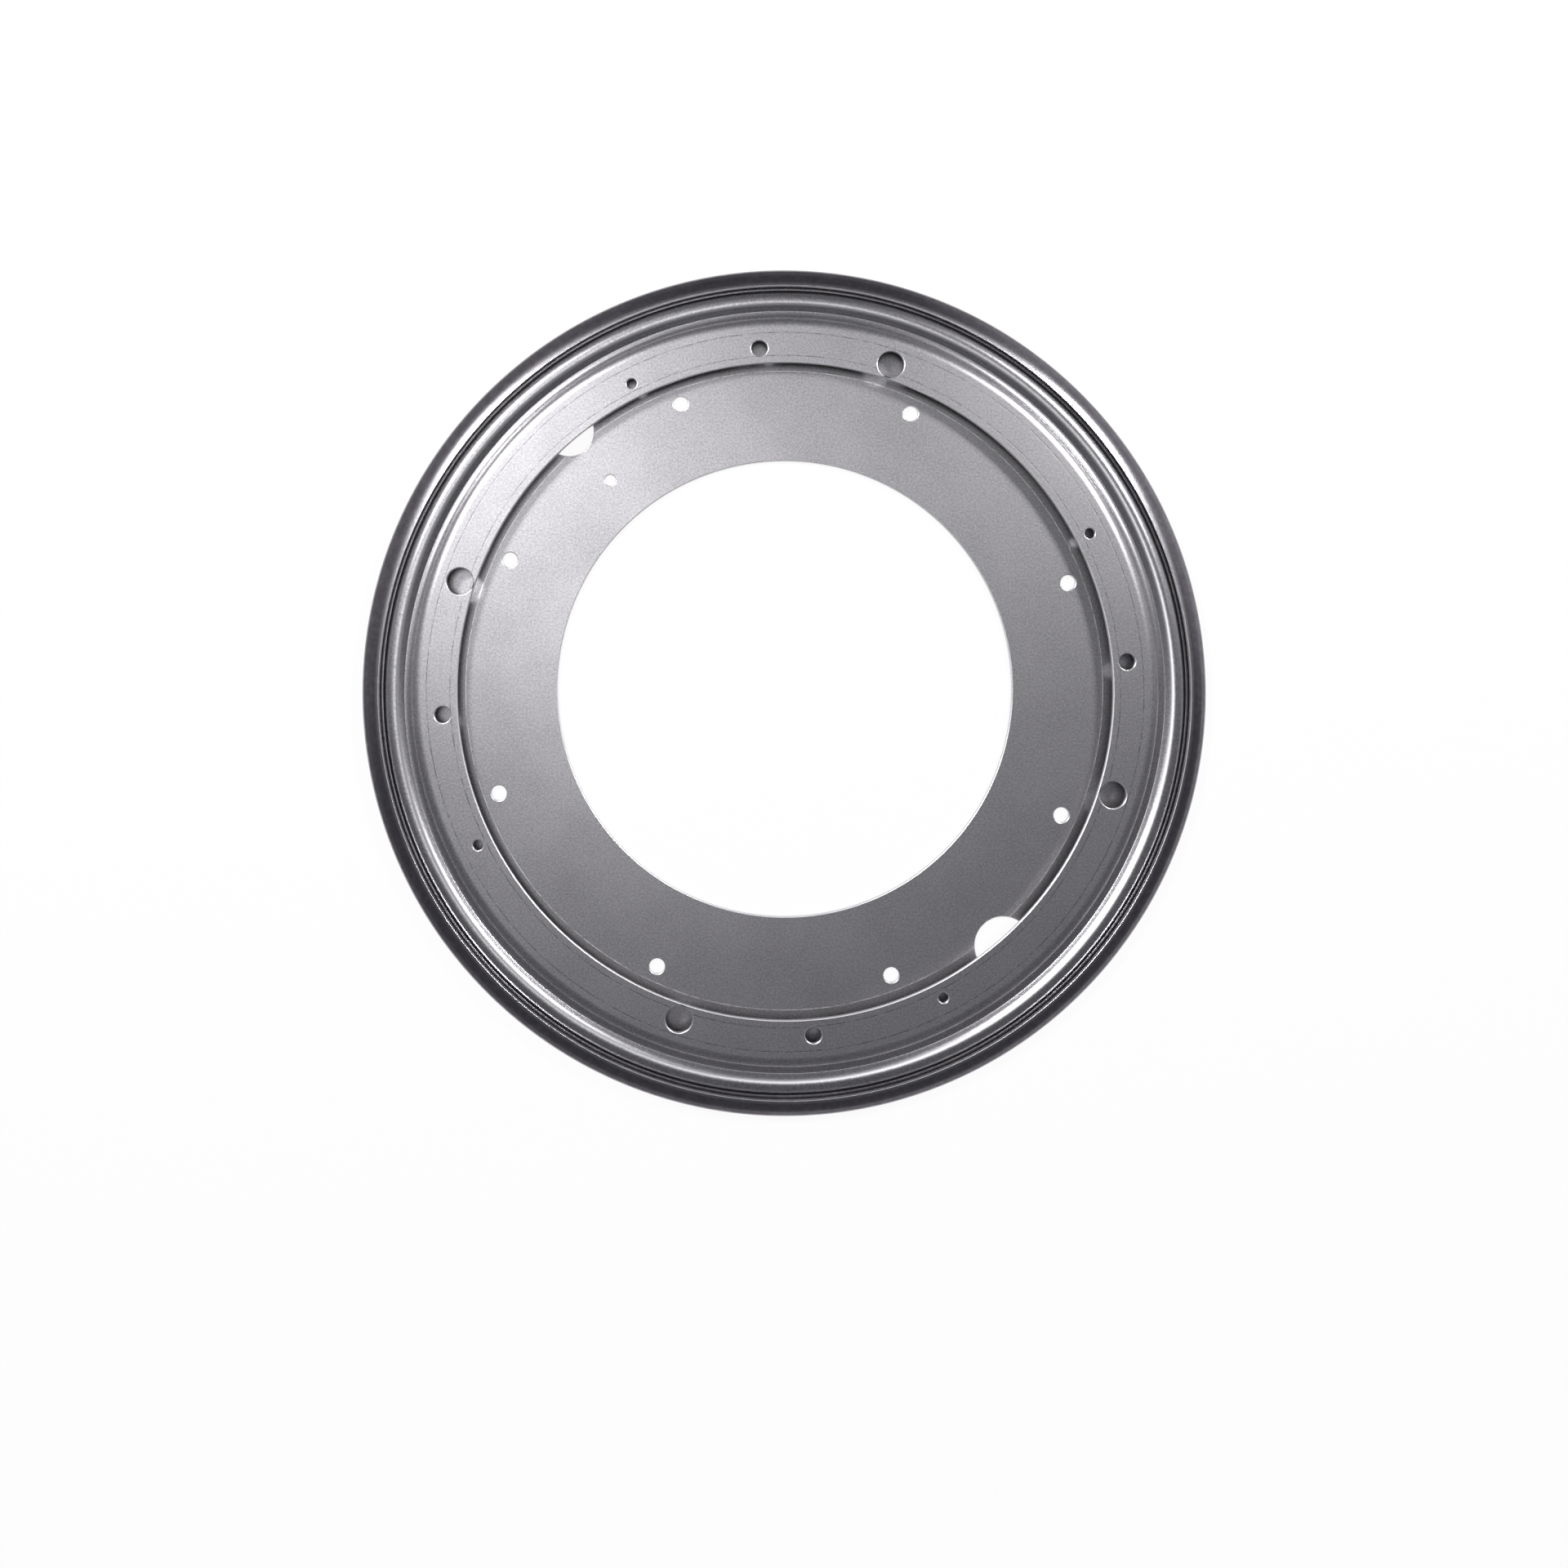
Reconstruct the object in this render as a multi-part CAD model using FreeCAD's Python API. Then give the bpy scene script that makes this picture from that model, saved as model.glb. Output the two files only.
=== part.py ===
"""Lazy susan bearing: two pressed sheet steel rings that turn on a ring of loose balls.

Lengths are in millimetres and angles in degrees, counter-clockwise from +X seen from above.
The origin is the centre of the underside, and +Z is the turning axis, towards the narrow ring.
"""

import FreeCAD
import Part
import math
import os

# overall sizes
OUTSIDE_DIAMETER = 304.8
TOTAL_HEIGHT = 7.94

# base ring: the wide plate, whose rim is rolled over the top ring
BASE_SHEET = 1.4
BASE_WIDTH = 69.85
RIM_FLOOR_LIFT = 1.45
RIM_CORNER_RADIUS = 1.2
LIP_MOUTH_GAP = 1.65
LIP_TOP_LEVEL = 7.75
LIP_SHOULDER_SHARE = 0.5
LIP_SLOPE = 16.0
LIP_LOWER_SLOPE = 31.0
LIP_SHOULDER_RADIUS = 12.0
LIP_SIDE_RADIUS = 1.5

# top ring: the narrow ring, trapped under the lip
TOP_SHEET = 1.4
TOP_FLAT_WIDTH = 14.65
FLANGE_GAP = 2.4
FLANGE_LEVEL = 4.94
FLANGE_SLOPE = 8.5

# ball race between the two rings
BALL_DIAMETER = 4.7625
BALLS_IN_NODE = 3
BALL_NODES = 20
RACE_INSET = 11.9
RACE_SIDE_GAP = 0.25
RACE_POLE_GAP = 0.1
RACE_SIDE_SLOPE = 45.0
CREASE_RADIUS = 1.0

# pressed step beside the race: raised in the base ring, sunk in the top ring
BASE_STEP_WIDTH = 6.6
BASE_STEP_HEIGHT = 1.9
BASE_STEP_SLOPE = 45.0
BASE_STEP_RADIUS = 1.5
TOP_STEP_WIDTH = 8.35
TOP_STEP_DEPTH = 2.1
TOP_STEP_SLOPE = 38.0
TOP_STEP_RADIUS = 4.8

# screw holes of the base ring, one circle of eight, this far in from the outside
BASE_HOLE = 5.4
BASE_HOLE_INSET = 42.1
BASE_HOLE_COUNT = 8
BASE_HOLE_TURN = 20.2

# locating hole and the two access holes of the base ring, on one line through the axis
ACCESS_TURN = 130.2
LOCATING_HOLE = 4.0
LOCATING_INSET = 53.6
ACCESS_HOLE_SMALL = 17.5
ACCESS_HOLE_LARGE = 20.6
ACCESS_INSET = 30.5

# screw holes of the top ring, three sets of four on one circle, this far out from its inner edge
TOP_HOLE_MARGIN = 5.5
TOP_HOLE_COUNT = 4
TOP_HOLE_LARGE = 9.5
TOP_HOLE_MEDIUM = 5.8
TOP_HOLE_SMALL = 3.6
TOP_HOLE_TURN = 71.9
TOP_HOLE_STEP = 22.5

# margin by which a cutting tool runs past the sheet
CUT_MARGIN = 1.0


def slope_of(degrees):
    """Rise of a line for each millimetre of radius."""
    return math.tan(math.radians(degrees))


def unit(start, end):
    """Direction from one point of a section to another."""
    step = end.sub(start)
    return step.normalize()


def left_of(direction):
    """The direction turned a quarter turn to the left, in the plane of the section."""
    return FreeCAD.Vector(-direction.z, 0, direction.x)


def rounded_corner(before, corner, after, radius, offset):
    """Start, middle and end of one bend, on the line that runs offset to the left of the centre line.

    The bend's centre stays the same for each offset, as it does in sheet metal.
    """
    way_in = unit(before, corner)
    way_out = unit(corner, after)
    turn = math.atan2(way_in.x * way_out.z - way_in.z * way_out.x, way_in.dot(way_out))
    side = math.copysign(1, turn)
    tangent = radius * math.tan(abs(turn) / 2)
    centre = corner.sub(way_in * tangent).add(left_of(way_in) * (side * radius))
    reach = (radius - side * offset) * -side
    first = centre.add(left_of(way_in) * reach)
    last = centre.add(left_of(way_out) * reach)
    middle = centre.add(unit(centre, first.add(last) * 0.5) * abs(reach))
    return first, middle, last


def side_edges(path, offset):
    """Edges of one side of a bent sheet: straight runs joined by tangent arcs."""
    points = [FreeCAD.Vector(radius, 0, level) for radius, level, bend in path]
    here = points[0].add(left_of(unit(points[0], points[1])) * offset)
    edges = []
    for place in range(1, len(path) - 1):
        bend = path[place][2]
        first, middle, last = rounded_corner(
            points[place - 1], points[place], points[place + 1], bend, offset
        )
        edges.append(Part.LineSegment(here, first).toShape())
        edges.append(Part.Arc(first, middle, last).toShape())
        here = last
    end = points[-1].add(left_of(unit(points[-2], points[-1])) * offset)
    edges.append(Part.LineSegment(here, end).toShape())
    return edges


def pressed_ring(path, sheet):
    """A ring of bent sheet, from the centre line of its section: radius, level and bend radius."""
    upper = side_edges(path, sheet / 2)
    lower = side_edges(path, -sheet / 2)
    inner_edge = Part.LineSegment(lower[0].Vertexes[0].Point, upper[0].Vertexes[0].Point).toShape()
    outer_edge = Part.LineSegment(upper[-1].Vertexes[-1].Point, lower[-1].Vertexes[-1].Point).toShape()
    outline = Part.Wire(Part.__sortEdges__(upper + lower + [inner_edge, outer_edge]))
    axis = FreeCAD.Vector(0, 0, 1)
    return Part.Face(outline).revolve(FreeCAD.Vector(0, 0, 0), axis, 360)


def on_circle(radius, angle):
    """The point of a circle round the axis at an angle."""
    turn = math.radians(angle)
    return FreeCAD.Vector(math.cos(turn), math.sin(turn), 0) * radius


def punch(diameter, radius, angle, underside, sheet):
    """The slug that a punched hole takes out of a sheet."""
    foot = on_circle(radius, angle)
    foot.z = underside - CUT_MARGIN
    return Part.makeCylinder(diameter / 2, sheet + 2 * CUT_MARGIN, foot)


def inset(distance):
    """The radius of what lies this far in from the outside of the base ring."""
    return OUTSIDE_DIAMETER / 2 - distance


def top_inside():
    """Radius of the top ring's inner edge."""
    return inset(RACE_INSET) - TOP_STEP_WIDTH - TOP_FLAT_WIDTH


def ball_level():
    """Height of the ball centres: halfway between the two races."""
    return TOTAL_HEIGHT / 2


def race_radius():
    """Radius of the section of each race."""
    return BALL_DIAMETER / 2 + RACE_SIDE_GAP


def race_offset():
    """Distance from the ball centres to the centre of a race's section, along the axis."""
    return RACE_SIDE_GAP - RACE_POLE_GAP


def race_reach(sheet):
    """Distance from the centre of a race's section to where its two side slopes meet."""
    return (race_radius() + sheet / 2) / math.cos(math.radians(RACE_SIDE_SLOPE))


def pressed_step(flat_level, width, rise, slope, bend_radius):
    """The step between a ring's flat and its race: where it leaves the flat and where it ends."""
    start = inset(RACE_INSET) - width
    end = start + abs(rise) / slope_of(slope)
    return [(start, flat_level, bend_radius), (end, flat_level + rise, bend_radius)]


def bead_tip():
    """Level at which the two side slopes of the top ring's bead meet."""
    return ball_level() - race_offset() + race_reach(TOP_SHEET)


def bead_foot():
    """Radius at which the bead's outer side meets the flange."""
    return inset(RACE_INSET) + (bead_tip() - FLANGE_LEVEL) / slope_of(RACE_SIDE_SLOPE)


def base_path():
    """Centre line of the base ring: flat, raised step, ball groove, floor, wall and lip.

    The lip's mouth keeps its gap to the bead that it is rolled over.
    """
    half = BASE_SHEET / 2
    race = inset(RACE_INSET)
    groove_tip = ball_level() + race_offset() - race_reach(BASE_SHEET)
    ridge = half + BASE_STEP_HEIGHT
    floor = half + RIM_FLOOR_LIFT
    wall = inset(half)
    side = slope_of(RACE_SIDE_SLOPE)
    mouth = bead_foot() + LIP_MOUTH_GAP - half * math.sin(math.radians(LIP_SLOPE))
    mouth_level = LIP_TOP_LEVEL - half * math.cos(math.radians(LIP_SLOPE))
    bend = mouth + (wall - mouth) * LIP_SHOULDER_SHARE
    bend_level = mouth_level - (bend - mouth) * slope_of(LIP_SLOPE)
    wall_level = bend_level - (wall - bend) * slope_of(LIP_LOWER_SLOPE)
    return [
        (inset(BASE_WIDTH), half, 0),
        *pressed_step(half, BASE_STEP_WIDTH, BASE_STEP_HEIGHT, BASE_STEP_SLOPE, BASE_STEP_RADIUS),
        (race - (ridge - groove_tip) / side, ridge, CREASE_RADIUS),
        (race, groove_tip, race_radius() + half),
        (race + (floor - groove_tip) / side, floor, CREASE_RADIUS),
        (wall, floor, RIM_CORNER_RADIUS),
        (wall, wall_level, LIP_SIDE_RADIUS),
        (bend, bend_level, LIP_SHOULDER_RADIUS),
        (mouth, mouth_level, 0),
    ]


def top_path():
    """Centre line of the top ring: flat, sunk step, ball bead and the flange under the lip.

    The flange keeps its gap to the inside of the base ring's wall.
    """
    half = TOP_SHEET / 2
    race = inset(RACE_INSET)
    flat = TOTAL_HEIGHT - half
    valley = flat - TOP_STEP_DEPTH
    side = slope_of(RACE_SIDE_SLOPE)
    foot = bead_foot()
    rim = inset(BASE_SHEET + FLANGE_GAP)
    return [
        (top_inside(), flat, 0),
        *pressed_step(flat, TOP_STEP_WIDTH, -TOP_STEP_DEPTH, TOP_STEP_SLOPE, TOP_STEP_RADIUS),
        (race - (bead_tip() - valley) / side, valley, CREASE_RADIUS),
        (race, bead_tip(), race_radius() + half),
        (foot, FLANGE_LEVEL, CREASE_RADIUS),
        (rim, FLANGE_LEVEL - (rim - foot) * slope_of(FLANGE_SLOPE), 0),
    ]


def base_ring():
    """The wide plate with its screw holes, locating hole and access holes."""
    screw_circle = inset(BASE_HOLE_INSET)
    access_circle = inset(ACCESS_INSET)
    slugs = []
    for place in range(BASE_HOLE_COUNT):
        angle = BASE_HOLE_TURN + place * 360 / BASE_HOLE_COUNT
        slugs.append(punch(BASE_HOLE, screw_circle, angle, 0, BASE_SHEET))
    slugs.append(punch(LOCATING_HOLE, inset(LOCATING_INSET), ACCESS_TURN, 0, BASE_SHEET))
    slugs.append(punch(ACCESS_HOLE_SMALL, access_circle, ACCESS_TURN, 0, BASE_SHEET))
    slugs.append(punch(ACCESS_HOLE_LARGE, access_circle, ACCESS_TURN + 180, 0, BASE_SHEET))
    return pressed_ring(base_path(), BASE_SHEET).cut(slugs)


def top_ring():
    """The narrow ring with its three sets of screw holes."""
    underside = TOTAL_HEIGHT - TOP_SHEET
    circle = top_inside() + TOP_HOLE_MARGIN
    slugs = []
    for step, diameter in enumerate((TOP_HOLE_LARGE, TOP_HOLE_MEDIUM, TOP_HOLE_SMALL)):
        for place in range(TOP_HOLE_COUNT):
            angle = TOP_HOLE_TURN + step * TOP_HOLE_STEP + place * 360 / TOP_HOLE_COUNT
            slugs.append(punch(diameter, circle, angle, underside, TOP_SHEET))
    return pressed_ring(top_path(), TOP_SHEET).cut(slugs)


def ball_set(number):
    """The balls of one set, spread evenly round the race, each set a step on from the last."""
    step = 360 / (BALL_NODES * BALLS_IN_NODE)
    balls = []
    for place in range(BALLS_IN_NODE):
        centre = on_circle(inset(RACE_INSET), number * step + place * 360 / BALLS_IN_NODE)
        centre.z = ball_level()
        balls.append(Part.makeSphere(BALL_DIAMETER / 2, centre))
    return Part.makeCompound(balls)


def write(name, shape):
    """Keep one sub-part as a file of its own."""
    shape.exportStep("parts/" + name + ".step")


def main():
    os.makedirs("parts", exist_ok=True)
    write("base_ring", base_ring())
    write("top_ring", top_ring())
    for number in range(BALL_NODES):
        write(f"ball_set_{number + 1:02d}", ball_set(number))


main()
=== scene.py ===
# Lazy susan bearing: the looks of the packed part. Two pressed rings of zinc plated steel turn on
# a ring of loose balls. Lengths are in metres in the frame of the part, and +Z is the turning axis.

import math

import bpy
import numpy as np
from bpy.props import FloatProperty, FloatVectorProperty, IntProperty, PointerProperty
from bpy.types import Operator, Panel, PropertyGroup
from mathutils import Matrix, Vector


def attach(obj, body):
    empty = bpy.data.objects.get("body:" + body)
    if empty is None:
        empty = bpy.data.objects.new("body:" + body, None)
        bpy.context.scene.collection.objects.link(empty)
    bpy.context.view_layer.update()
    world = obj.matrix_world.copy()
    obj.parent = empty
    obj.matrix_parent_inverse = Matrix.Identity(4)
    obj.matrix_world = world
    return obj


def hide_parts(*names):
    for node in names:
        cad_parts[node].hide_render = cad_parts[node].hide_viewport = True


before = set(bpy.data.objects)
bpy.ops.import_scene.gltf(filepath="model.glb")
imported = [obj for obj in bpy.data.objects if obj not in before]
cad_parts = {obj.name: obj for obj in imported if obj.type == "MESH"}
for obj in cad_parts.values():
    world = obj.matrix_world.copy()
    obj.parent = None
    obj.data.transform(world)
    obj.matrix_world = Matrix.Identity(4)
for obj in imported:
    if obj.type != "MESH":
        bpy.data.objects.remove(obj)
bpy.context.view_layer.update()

bl_info = {
    "name": "Lazy Susan Bearing",
    "version": (1, 0, 0),
    "blender": (4, 5, 0),
    "location": "3D View > Sidebar > Bearing",
    "description": "Builds the pressed rings and balls of a flat turntable bearing",
    "category": "Add Mesh",
}

MM = 0.001

# Fineness of the surfaces: points round a ring, turn between two points of a bend and of an edge,
# points of a hole's rolled edge, and the clear strip between a hole and the grid of the flat.
TURNS = 480
ARC_STEP = math.radians(12)
EDGE_STEP = math.radians(22.5)
EDGE_POINTS = 5
HOLE_MARGIN = 1.0 * MM

# Clear strips at the ends of the grid: from the edge, in radii of its roll, and to the bend.
EDGE_CLEAR = 1.5
BEND_CLEAR = 0.05 * MM

# Rows of the grid on a flat: radii where the spacing changes, and the rows of each run.
BASE_STOPS, BASE_ROWS = (0.095, 0.104), (5, 7, 20)
TOP_STOPS, TOP_ROWS = (), (14,)

SCREW_HOLES = 8
TOP_HOLES_OF_A_SIZE = 4

# An edge painted bright, partly as wear and partly as a painted highlight, faces up and leans
# by no less and no more than this.
BRIGHT_EDGE_LEAN = math.radians(15), math.radians(80)

ZINC = "zinc_plated_pressed_steel"
BALL_STEEL = "lapped_bearing_steel"
PAPER = "matt_white_paper"

# Noises: features in a metre, detail and roughness.
GRAIN = 1500, 2, 0.6
CLOUD = 34, 3, 0.55
MOTTLE = 420, 4, 0.65
GREASE = 700, 2, 0.5

# Dullness of the plate: the clouds' share beside the grain, and the sum where it starts and ends.
CLOUD_SHARE = 0.4
DULL_RANGE = 0.5, 0.9

# Height of the bump where its pattern is one, and the share of it that the grain takes.
BUMP_HEIGHT = 0.00002
GRAIN_SHARE = 0.05

# Radii and levels between which the lip, smoothed and painted darker as shade, and the smooth
# formed steps begin.
LIP_RADII = 0.1459, 0.1472
LIP_LEVELS = 0.0036, 0.0050
FORMED_RADII = 0.1305, 0.134

# Range of the mottle, and the share of the lip's painted shade over that range.
LIP_SHADE_SPOTS = 0.3, 0.6, 0.75, 1.0

# Range of the noise, and the roughness of plate and balls over that range.
SATIN = 0.3, 0.7, 0.35, 0.37
LAPPED = 0.3, 0.7, 0.08, 0.2

# What the dies and the rollers take off the plate's roughness.
FORMED_POLISH, ROLLED_POLISH = 0.09, 0.06

# Clear passivation over the zinc.
COAT_WEIGHT, COAT_ROUGHNESS = 0.4, 0.12

# Fine lines round the flats: radius, half the width, and depth in heights of the bump. A line
# below nought is a witness line of the press tools, scribed and holding dirt, and one above it
# is drawn paler than the plate.
WITNESS_LINES = ((0.1285, 0.0003, -1.0), (0.1201, 0.0003, -1.0), (0.1159, 0.00035, 1.5))
# Range of the mottle over which they come out, and the most of their tone that shows.
LINE_RANGE = 0.35, 0.6
LINE_SHARE = 0.85

# Floor: half its width, and how far it lies under the bearing.
FLOOR_REACH = 20.0
FLOOR_DROP = 0.0002
# Share of its own light in what the camera and the metal see of the floor.
FLOOR_GLOW = 0.93

# Lamps: name, azimuth and angle off the zenith in degrees, distance, width and height, radiance.
LAMPS = (
    ("right_soft_box", 36, 48, 1.0, (0.18, 0.18), 46.0),
    ("left_soft_box", 140, 42, 1.0, (0.18, 0.18), 60.0),
    ("top_soft_box", 144, 12, 1.0, (0.4, 0.4), 1.35),
    ("overhead_soft_box", 0, 0, 1.0, (0.25, 0.25), 1.0),
)

# Light of the room: azimuth and angle off the zenith, angle from there to its end, level all
# round, and what it adds in its middle.
ROOM_LIGHT = (
    (140, 22, 34, 0.0, 0.2),
    (30, 76, 40, 0.14, 0.4),
    (150, 75, 50, 0.0, 0.2),
)
# Light at the horizon, and the height (sine of the elevation) where it has faded out.
HORIZON_LIGHT, HORIZON_HEIGHT = 0.75, 0.2

# Camera: sensor and lens in millimetres, shift in frames, tilt, and range of what it sees.
SENSOR, LENS = 36, 27.925
CAMERA_SHIFT = 0.0353, -0.1231
CAMERA_TILT = math.radians(2.2), math.radians(-0.58), 0
CAMERA_CLIP = 0.01, 20


def length(name, description, millimetres):
    """A size that a user can change, kept in metres."""
    return FloatProperty(
        name=name, description=description, default=millimetres * MM, precision=5, unit="LENGTH"
    )


def angle(name, description, degrees):
    """An angle that a user can change, kept in radians."""
    return FloatProperty(
        name=name, description=description, default=math.radians(degrees), subtype="ANGLE"
    )


def linear(hex_colour):
    """The linear colour of an sRGB hex value, with full alpha."""
    parts = np.array([int(hex_colour[place : place + 2], 16) for place in (1, 3, 5)]) / 255
    curved = np.where(parts <= 0.04045, parts / 12.92, ((parts + 0.055) / 1.055) ** 2.4)
    return (*curved.tolist(), 1.0)


def colour(name, description, hex_colour):
    """A colour that a user can change."""
    return FloatVectorProperty(
        name=name, description=description, default=linear(hex_colour), size=4, subtype="COLOR",
        min=0, max=1,
    )


class BEARING_PG_race(PropertyGroup):
    """Sizes that both rings share."""

    outside: length("Outside diameter", "Across the rolled rim", 304.8)
    height: length("Height", "From the underside to the top ring's flat", 7.94)
    sheet: length("Sheet", "Thickness of both rings", 1.4)
    race_inset: length("Race inset", "Outside edge to the middle of the ball race", 11.9)
    ball: length("Ball", "Diameter of one ball", 4.7625)
    side_gap: length("Side gap", "Race radius less ball radius", 0.25)
    pole_gap: length("Pole gap", "Ball to race at rest, along the axis", 0.1)
    side_slope: angle("Race slope", "Slope of the sides of groove and bead", 45)
    crease: length("Crease radius", "Bend at the foot of groove and bead", 1.0)
    roll: length("Rolled edge", "Radius that the punch leaves on an upper edge", 0.42)
    burr: length("Lower edge", "Radius that is left on a lower edge", 0.15)


class BEARING_PG_base(PropertyGroup):
    """Sizes of the base ring."""

    width: length("Width", "Outside edge to the bore", 69.85)
    shoulder_width: length("Shoulder width", "Ball race to the start of the raised step", 6.6)
    shoulder_depth: length("Shoulder height", "Height of the raised step", 1.9)
    shoulder_slope: angle("Shoulder slope", "Slope of the raised step", 45)
    bend: length("Shoulder bend", "Bend radius of the raised step", 1.5)
    floor_lift: length("Rim floor lift", "Floor under the flange above the plate", 1.45)
    corner: length("Rim corner", "Bend radius where floor meets wall", 1.2)
    mouth_gap: length("Lip gap", "Foot of the bead to the mouth of the lip", 1.65)
    lip_level: length("Lip level", "Top of the lip's mouth", 7.75)
    lip_share: FloatProperty(
        name="Lip shoulder", description="Share of the lip that has the flatter slope",
        default=0.5, min=0.1, max=0.9,
    )
    lip_slope: angle("Lip slope", "Slope of the lip beside its mouth", 16)
    lip_lower_slope: angle("Lower lip slope", "Slope of the lip beside the wall", 31)
    lip_bend: length("Lip bend", "Bend radius between the two slopes", 12.0)
    lip_side: length("Lip side", "Bend radius between lip and wall", 1.5)
    screw_hole: length("Screw hole", "Diameter of the eight screw holes", 5.4)
    screw_inset: length("Screw circle inset", "Outside edge to the screw holes", 42.1)
    screw_turn: angle("Screw holes turned", "Angle of the first screw hole", 20.2)
    locating_hole: length("Locating hole", "Diameter of the small hole", 4.0)
    locating_inset: length("Locating inset", "Outside edge to the small hole", 53.6)
    small_access: length("Small access hole", "Diameter of the smaller access hole", 17.5)
    large_access: length("Large access hole", "Diameter of the larger access hole", 20.6)
    access_inset: length("Access inset", "Outside edge to the access holes", 30.5)
    access_turn: angle("Access turned", "Angle of the smaller access hole", 130.2)


class BEARING_PG_top(PropertyGroup):
    """Sizes of the top ring."""

    flat_width: length("Flat width", "Start of the sunk step to the inner edge", 14.65)
    shoulder_width: length("Shoulder width", "Ball race to the start of the sunk step", 8.35)
    shoulder_depth: length("Shoulder depth", "Depth of the sunk step", 2.1)
    shoulder_slope: angle("Shoulder slope", "Slope of the sunk step", 38)
    bend: length("Shoulder bend", "Bend radius of the sunk step", 4.8)
    flange_gap: length("Flange gap", "Flange to the inside of the base ring's wall", 2.4)
    flange_level: length("Flange level", "Foot of the bead, at mid sheet", 4.94)
    flange_slope: angle("Flange slope", "Fall of the flange under the lip", 8.5)
    hole_margin: length("Hole margin", "Inner edge to the circle of screw holes", 5.5)
    large_hole: length("Large hole", "Diameter of the four large holes", 9.5)
    medium_hole: length("Medium hole", "Diameter of the four medium holes", 5.8)
    small_hole: length("Small hole", "Diameter of the four small holes", 3.6)
    hole_turn: angle("Holes turned", "Angle of the first large hole", 71.9)
    hole_step: angle("Hole step", "Angle from one size of hole to the next", 22.5)


class BEARING_PG_balls(PropertyGroup):
    """How the balls are grouped."""

    sets: IntProperty(name="Sets", description="Number of ball sets", default=20, min=1)
    in_set: IntProperty(name="Balls in a set", description="Balls in each set", default=3, min=1)
    segments: IntProperty(name="Segments", description="Faces round one ball", default=32, min=8)


class BEARING_PG_finish(PropertyGroup):
    """Colours of the finishes."""

    zinc: colour("Zinc", "Bright zinc plate on pressed steel", "#CDCBCE")
    zinc_dull: colour("Dull zinc", "The same plate where it is handled and dusty", "#A6A4A7")
    # Painted shade: the lip's colour is drawn darker to stand in for the dark room that it mirrors.
    lip_painted_shade: colour("Dull lip", "The rolled lip, burnished dark by the rollers", "#7C787D")
    scribed: colour("Scribed line", "Dirt in the fine lines that the tools leave", "#5E5B60")
    # A pale hairline at one radius, drawn paler than the plate.
    rubbed: colour("Rubbed line", "Plating rubbed bright by the tools", "#F2F0F4")
    # Painted highlight: the upper rolled edges are drawn near white, partly as wear and partly as
    # the highlight that they catch.
    edge: colour("Worn edge", "Bare bright metal on the rolled upper edges", "#FFFEFF")
    ball: colour("Ball steel", "Polished bearing steel", "#D2D2D4")


class BEARING_PG_studio(PropertyGroup):
    """The stage."""

    floor: colour("Floor", "Paper under the bearing", "#F4F4F4")
    backdrop: colour("Backdrop", "What the camera sees past the floor", "#FFFFFF")
    room: colour("Room", "Light of the room round the table", "#F8F8FF")
    camera_height: length("Camera height", "Camera above the underside", 444)
    camera_x: length("Camera right", "Camera to the right of the axis", -25)
    camera_y: length("Camera up", "Camera towards the top of the picture", 18)


def unit(vectors):
    """Vectors of length one."""
    return vectors / np.linalg.norm(vectors, axis=-1, keepdims=True)


def turned_left(vectors):
    """Vectors of a section turned a quarter turn to the left."""
    return np.stack([-vectors[:, 1], vectors[:, 0]], axis=1)


def rounded_outline(corners, radii, steps, extra):
    """Points and outward normals round a closed outline whose every corner is a tangent arc.

    On an arc the normal turns evenly from the left of one run to the left of the next, and the
    point is the arc's centre plus or minus radius times normal: plus at an outer corner, minus in
    a hollow. extra holds rows of points to add after a corner: corner number to radius, level,
    normal.
    """
    way_in = unit(corners - np.roll(corners, 1, axis=0))
    way_out = np.roll(way_in, -1, axis=0)
    cross = way_in[:, 0] * way_out[:, 1] - way_in[:, 1] * way_out[:, 0]
    turn = np.arctan2(cross, (way_in * way_out).sum(axis=1))
    side = np.sign(turn)
    normal = turned_left(way_in)
    start = corners - way_in * (radii * np.tan(np.abs(turn) / 2))[:, None]
    centre = start + normal * (side * radii)[:, None]
    rows = []
    for place in range(len(corners)):
        count = max(3, math.ceil(abs(turn[place]) / steps[place]) + 1)
        swing = np.linspace(0, turn[place], count)
        facing = np.stack(
            [
                normal[place, 0] * np.cos(swing) - normal[place, 1] * np.sin(swing),
                normal[place, 0] * np.sin(swing) + normal[place, 1] * np.cos(swing),
            ],
            axis=1,
        )
        rows.append(np.hstack([centre[place] - side[place] * radii[place] * facing, facing]))
        if place in extra:
            rows.append(extra[place])
    starts = np.cumsum([0] + [len(row) for row in rows])
    return np.vstack(rows), starts


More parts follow.
